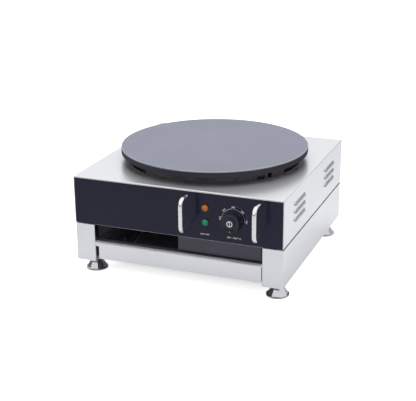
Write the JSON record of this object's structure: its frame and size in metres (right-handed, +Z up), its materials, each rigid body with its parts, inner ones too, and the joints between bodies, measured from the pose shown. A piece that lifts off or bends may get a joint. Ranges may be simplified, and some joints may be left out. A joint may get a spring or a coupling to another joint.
{
  "type": "crepe maker",
  "caption": "Round flat griddle over a square stainless casing with a black control front, rod handles, a pull-out tray between leg frames and levelling feet.",
  "frame": {"origin": "on the worktop under the middle of the part's own box, handles and cord inlet included", "axes": "+X to the right seen from the front, +Y towards the rear, +Z up"},
  "size_m": [0.457, 0.5111, 0.246],
  "materials": {
    "plate": "satin baked-on coating, fine concentric machining marks",
    "element": "heat-darkened alloy sheath",
    "zinc_steel": "zinc-plated, slightly dull",
    "insulation": "matt mineral fibre",
    "dark_steel": "matt heat-resistant coating",
    "stainless": "polished stainless with a faint grain",
    "handle_steel": "polished",
    "foot_steel": "bright plated",
    "fascia_black": "semi-gloss black",
    "black_plastic": "satin",
    "amber_lens": "translucent, faceted",
    "green_lens": "translucent, faceted",
    "ceramic": "glazed off-white",
    "copper": "drawn copper",
    "brass": "turned",
    "wire": "silicone sleeving",
    "tray_dark": "satin non-stick coating",
    "knob_face": "spun disc"
  },
  "bodies": {
    "base": {"griddle_plate": "plate", "heating_element_inner": "element", "heating_element_middle": "element", "heating_element_outer": "element", "element_clamp": "zinc_steel", "insulation_pad": "insulation", "heat_pan": "zinc_steel", "skirt_ring": "dark_steel", "griddle_studs": "zinc_steel", "griddle_nuts": "zinc_steel", "support_bars": "zinc_steel", "bar_fixings": "zinc_steel", "casing_shell": "stainless", "casing_floor": "zinc_steel", "rear_panel": "stainless", "fascia_backing": "zinc_steel", "fascia": "fascia_black", "wiring_cover": "dark_steel", "side_frame_left": "stainless", "side_frame_right": "stainless", "rear_skirt": "stainless", "foot_gussets": "zinc_steel", "weld_nuts": "zinc_steel", "runner_left": "zinc_steel", "runner_right": "zinc_steel", "runner_rivets": "zinc_steel", "floor_screws": "zinc_steel", "fascia_screws": "zinc_steel", "cover_screws": "zinc_steel", "rear_screws": "zinc_steel", "handle_left": "handle_steel", "handle_right": "handle_steel", "handle_screws": "zinc_steel", "amber_lamp": "black_plastic", "amber_lens": "amber_lens", "green_lamp": "black_plastic", "green_lens": "green_lens", "thermostat_body": "ceramic", "thermostat_screws": "zinc_steel", "thermostat_capillary": "copper", "safety_cutout": "black_plastic", "cutout_capillary": "copper", "terminal_block": "ceramic", "inner_wires": "wire", "cable_gland": "black_plastic", "gland_nut": "black_plastic", "bonding_stud": "brass"},
    "tray": {"tray_pan": "tray_dark", "tray_front": "stainless"},
    "knob": {"thermostat_shaft": "zinc_steel", "knob": "black_plastic", "knob_insert": "knob_face"},
    "foot_front_left": {"foot_front_left": "foot_steel"},
    "foot_front_right": {"foot_front_right": "foot_steel"},
    "foot_rear_left": {"foot_rear_left": "foot_steel"},
    "foot_rear_right": {"foot_rear_right": "foot_steel"}
  },
  "joints": [
    {"name": "tray_slide", "type": "slide", "parent": "base", "child": "tray", "axis": [0, -1, 0], "range_m": [0, 0.3]},
    {"name": "thermostat_turn", "type": "hinge", "parent": "base", "child": "knob", "pos_m": [0.122, -0.20605, 0.162], "axis": [0, 1, 0], "range_deg": [0, 270]},
    {"name": "foot_front_left_screw", "type": "hinge", "parent": "base", "child": "foot_front_left", "pos_m": [-0.202, -0.16475, 0], "axis": [0, 0, 1], "continuous": true},
    {"name": "foot_front_right_screw", "type": "hinge", "parent": "base", "child": "foot_front_right", "pos_m": [0.202, -0.16475, 0], "axis": [0, 0, 1], "continuous": true},
    {"name": "foot_rear_left_screw", "type": "hinge", "parent": "base", "child": "foot_rear_left", "pos_m": [-0.202, 0.19225, 0], "axis": [0, 0, 1], "continuous": true},
    {"name": "foot_rear_right_screw", "type": "hinge", "parent": "base", "child": "foot_rear_right", "pos_m": [0.202, 0.19225, 0], "axis": [0, 0, 1], "continuous": true}
  ]
}
